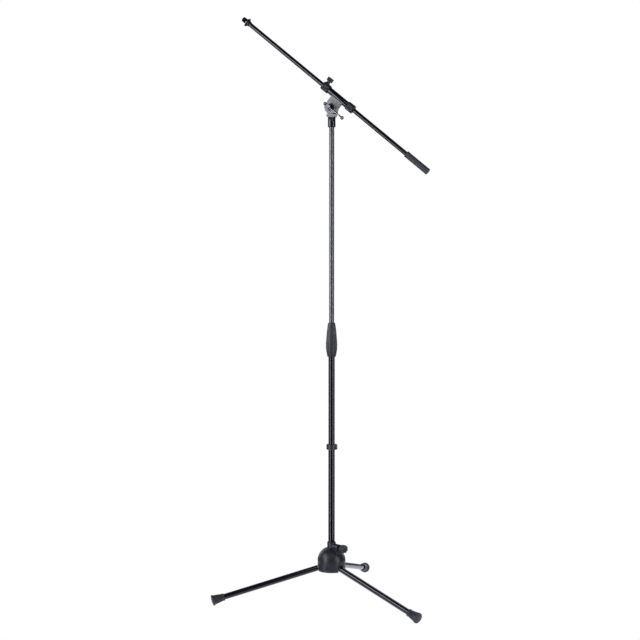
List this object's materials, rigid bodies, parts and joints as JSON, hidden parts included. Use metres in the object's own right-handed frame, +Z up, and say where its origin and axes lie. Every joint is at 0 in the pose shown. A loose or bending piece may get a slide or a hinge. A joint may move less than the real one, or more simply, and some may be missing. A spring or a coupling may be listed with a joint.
{
  "type": "boom microphone stand",
  "caption": "Folding tripod microphone stand: domed base, telescopic mast with twist clutch, tilting counterweighted boom arm with a threaded tip.",
  "frame": {"origin": "on the floor, in the middle of the bounding box of the opened legs; the mast's axis stands at X 0, Y -89.00 mm", "axes": "+Z up along the mast; the boom lies in a plane parallel to XZ with its microphone end towards -X and up; the tilt screw points to -Y"},
  "size_m": [0.6718, 0.5852, 1.8313],
  "materials": {
    "housing_plastic": "fine moulded texture",
    "liner_nylon": "smooth",
    "zinc_casting": "as cast",
    "zinc_painted": "satin grey",
    "steel_bright": "satin",
    "chrome": "polished",
    "tube_black": "gloss black",
    "tube_grey": "satin dark grey",
    "foot_rubber": "matte",
    "grip_rubber": "fine moulded texture",
    "knob_plastic": "fine moulded texture",
    "bushing_plastic": "ribbed",
    "stud_black": "blackened",
    "friction_fibre": "matte",
    "weight_plastic": "fine moulded texture"
  },
  "bodies": {
    "base": {"base_housing": "housing_plastic", "tube_liner": "liner_nylon", "leg_carrier": "zinc_casting", "leg_pins": "steel_bright", "housing_screws": "stud_black", "clamp_shoe": "liner_nylon"},
    "base_clamp": {"base_clamp_screw": "steel_bright", "base_knob": "knob_plastic"},
    "lower_mast": {"lower_tube": "tube_black", "end_plug": "zinc_casting", "end_plug_screw": "steel_bright", "clutch_collar": "liner_nylon", "collet": "liner_nylon"},
    "clutch": {"clutch_grip": "grip_rubber"},
    "clip": {"cable_clip": "knob_plastic"},
    "mast_guide": {"guide_bush": "liner_nylon"},
    "upper_mast": {"upper_tube": "tube_grey", "top_spindle": "steel_bright", "neck_sleeve": "tube_black", "tilt_knuckle": "zinc_painted", "friction_disc": "friction_fibre", "tilt_nut": "steel_bright"},
    "tilt_handle": {"tilt_screw": "chrome", "tilt_washer": "stud_black"},
    "tommy": {"tommy_bar": "chrome", "bar_balls": "chrome"},
    "boom_holder": {"boom_bracket": "zinc_painted", "boom_sleeve": "tube_black", "front_bushing": "bushing_plastic", "rear_bushing": "bushing_plastic", "boom_pad": "liner_nylon"},
    "boom_lock": {"boom_screw": "steel_bright", "boom_knob": "knob_plastic"},
    "boom": {"boom_tube": "tube_black", "tip_adapter": "stud_black", "counterweight": "steel_bright", "counterweight_cover": "weight_plastic"},
    "boom_ring": {"lock_ring": "chrome"},
    "leg_1": {"leg_knuckle_1": "zinc_casting", "leg_tube_1": "tube_black", "foot_1": "foot_rubber"},
    "leg_2": {"leg_knuckle_2": "zinc_casting", "leg_tube_2": "tube_black", "foot_2": "foot_rubber"},
    "leg_3": {"leg_knuckle_3": "zinc_casting", "leg_tube_3": "tube_black", "foot_3": "foot_rubber"}
  },
  "joints": [
    {"name": "mast_slide", "type": "slide", "parent": "base", "child": "lower_mast", "axis": [0, 0, -1], "range_m": [0, 0.28]},
    {"name": "leg_1_fold", "type": "hinge", "parent": "base", "child": "leg_1", "pos_m": [0, -0.05801, 0.10573], "axis": [-1, 0, 0], "range_deg": [0, 75.01]},
    {"name": "leg_2_fold", "type": "hinge", "parent": "base", "child": "leg_2", "pos_m": [-0.02685, -0.10451, 0.10573], "axis": [0.5, -0.866, 0], "range_deg": [0, 75.01]},
    {"name": "leg_3_fold", "type": "hinge", "parent": "base", "child": "leg_3", "pos_m": [0.02685, -0.10451, 0.10573], "axis": [0.5, 0.866, 0], "range_deg": [0, 75.01]},
    {"name": "base_clamp_turn", "type": "hinge", "parent": "base", "child": "base_clamp", "pos_m": [0.0407, -0.1125, 0.169], "axis": [0.866, -0.5, 0], "range_deg": [0, 300]},
    {"name": "clutch_turn", "type": "hinge", "parent": "lower_mast", "child": "clutch", "pos_m": [0, -0.08901, 0.8], "axis": [0, 0, 1], "range_deg": [0, 90]},
    {"name": "clip_slide", "type": "slide", "parent": "lower_mast", "child": "clip", "axis": [0, 0, 1], "range_m": [-0.285, 0.27]},
    {"name": "mast_extend", "type": "slide", "parent": "lower_mast", "child": "mast_guide", "axis": [0, 0, 1], "range_m": [-0.605, 0]},
    {"name": "mast_pan", "type": "hinge", "parent": "mast_guide", "child": "upper_mast", "pos_m": [0, -0.08901, 0.8], "axis": [0, 0, 1], "continuous": true},
    {"name": "boom_tilt", "type": "hinge", "parent": "upper_mast", "child": "boom_holder", "pos_m": [0, -0.08901, 1.5395], "axis": [0, 1, 0], "range_deg": [-128, 50]},
    {"name": "tilt_screw_turn", "type": "hinge", "parent": "upper_mast", "child": "tilt_handle", "pos_m": [0, -0.119, 1.5395], "axis": [0, -1, 0], "range_deg": [0, 300]},
    {"name": "tommy_slide", "type": "slide", "parent": "tilt_handle", "child": "tommy", "axis": [0.7738, 0, -0.6334], "range_m": [-0.0445, 0]},
    {"name": "boom_slide", "type": "slide", "parent": "boom_holder", "child": "boom", "axis": [0.7738, 0, -0.6334], "range_m": [-0.214, 0.293]},
    {"name": "boom_lock_turn", "type": "hinge", "parent": "boom_holder", "child": "boom_lock", "pos_m": [-0.00868, -0.08901, 1.61936], "axis": [0.6334, 0, 0.7738], "range_deg": [0, 300]},
    {"name": "boom_ring_turn", "type": "hinge", "parent": "boom", "child": "boom_ring", "pos_m": [-0.27672, -0.08901, 1.8129], "axis": [0.7738, 0, -0.6334], "continuous": true}
  ],
  "couplings": [
    {"joint": "leg_1_fold", "follows": "mast_slide", "rad_per_m": 4.675},
    {"joint": "leg_2_fold", "follows": "mast_slide", "rad_per_m": 4.675},
    {"joint": "leg_3_fold", "follows": "mast_slide", "rad_per_m": 4.675}
  ]
}
